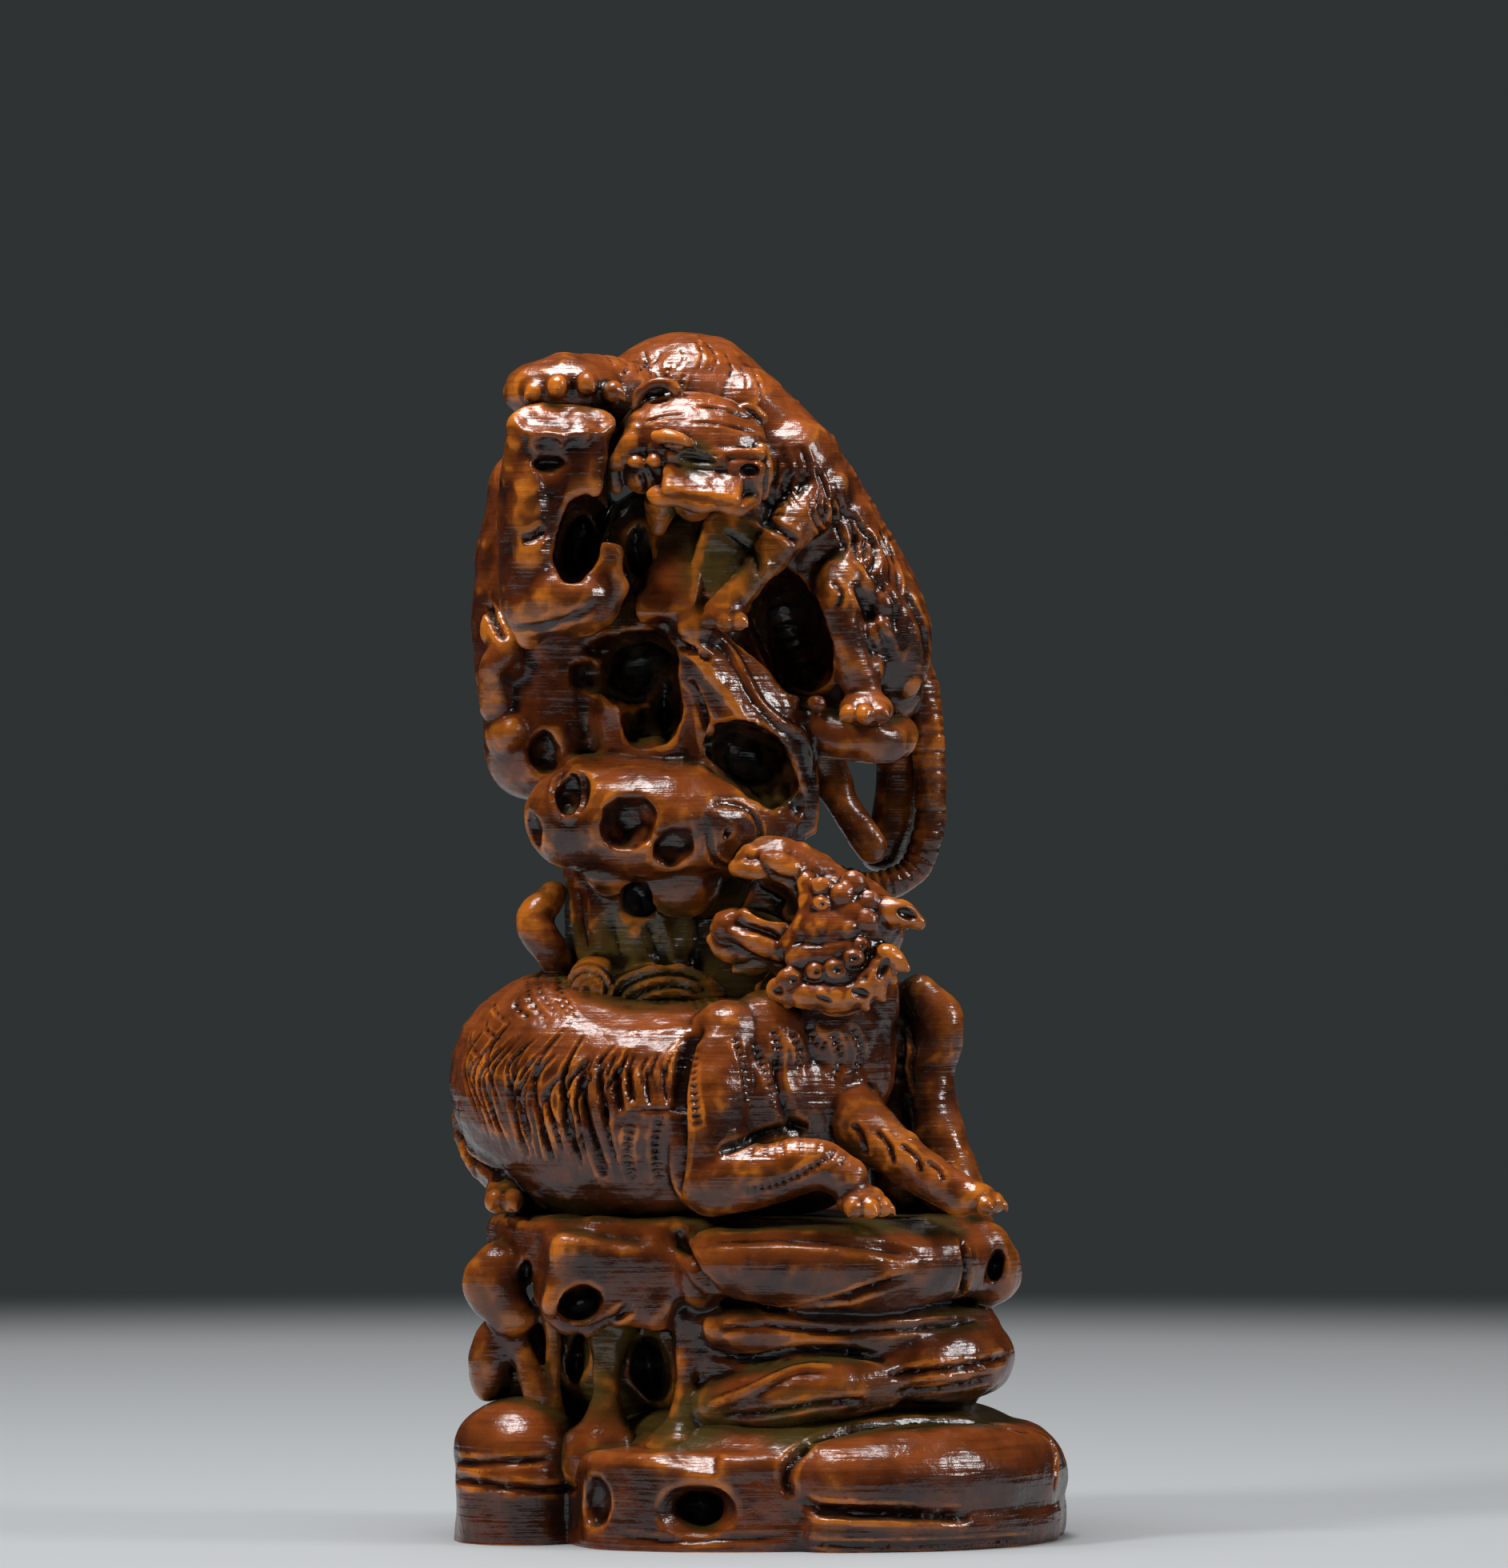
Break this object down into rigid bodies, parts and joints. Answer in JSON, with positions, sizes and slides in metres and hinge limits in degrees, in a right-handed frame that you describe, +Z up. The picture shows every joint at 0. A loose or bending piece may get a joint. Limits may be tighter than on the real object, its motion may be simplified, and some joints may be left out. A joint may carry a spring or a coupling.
{
  "type": "carved tiger ornament",
  "caption": "Free-standing carved boxwood ornament: a tiger crouching over the crown of a pierced rock and another curled round its foot, roaring upwards",
  "frame": {"origin": "centre of the base's underside", "axes": "+Z up, -Y towards the viewer of the picture, +X to that viewer's right"},
  "size_m": [0.0521, 0.0428, 0.1],
  "materials": {
    "tiger_wood": "oiled and rubbed, red-brown",
    "rock_wood": "oiled and rubbed, red-brown with amber edges",
    "shaded_wood": "oiled, olive-brown, less rubbed"
  },
  "bodies": {
    "root": {"base_slab": "rock_wood", "base_left_boulder": "rock_wood", "base_right_stone": "rock_wood", "stone_core": "shaded_wood", "ledge_shelf": "shaded_wood", "ledge_right_stone": "rock_wood", "ledge_left_stone": "rock_wood", "ledge_left_knob": "rock_wood", "stone_middle_right": "rock_wood", "stone_left_column": "rock_wood", "stone_inner_post": "shaded_wood", "rock_core": "shaded_wood", "rock_neck": "shaded_wood", "rock_pierced_column": "rock_wood", "rock_left_back": "rock_wood", "rock_boulder": "rock_wood", "rock_right_column": "rock_wood", "rock_strut": "rock_wood", "rock_perch_spur": "rock_wood", "rock_spur_right": "rock_wood", "upper_tiger_body": "tiger_wood", "upper_tiger_head": "tiger_wood", "upper_tiger_jaw": "tiger_wood", "upper_tiger_right_foreleg": "tiger_wood", "upper_tiger_left_foreleg": "tiger_wood", "upper_tiger_left_hind_leg": "tiger_wood", "upper_tiger_right_hind_leg": "tiger_wood", "upper_tiger_tail": "tiger_wood", "lower_tiger_body": "tiger_wood", "lower_tiger_head": "tiger_wood", "lower_tiger_jaw": "tiger_wood", "lower_tiger_right_foreleg": "tiger_wood", "lower_tiger_left_foreleg": "tiger_wood", "lower_tiger_hind_leg": "tiger_wood", "lower_tiger_tail": "tiger_wood"}
  },
  "joints": []
}
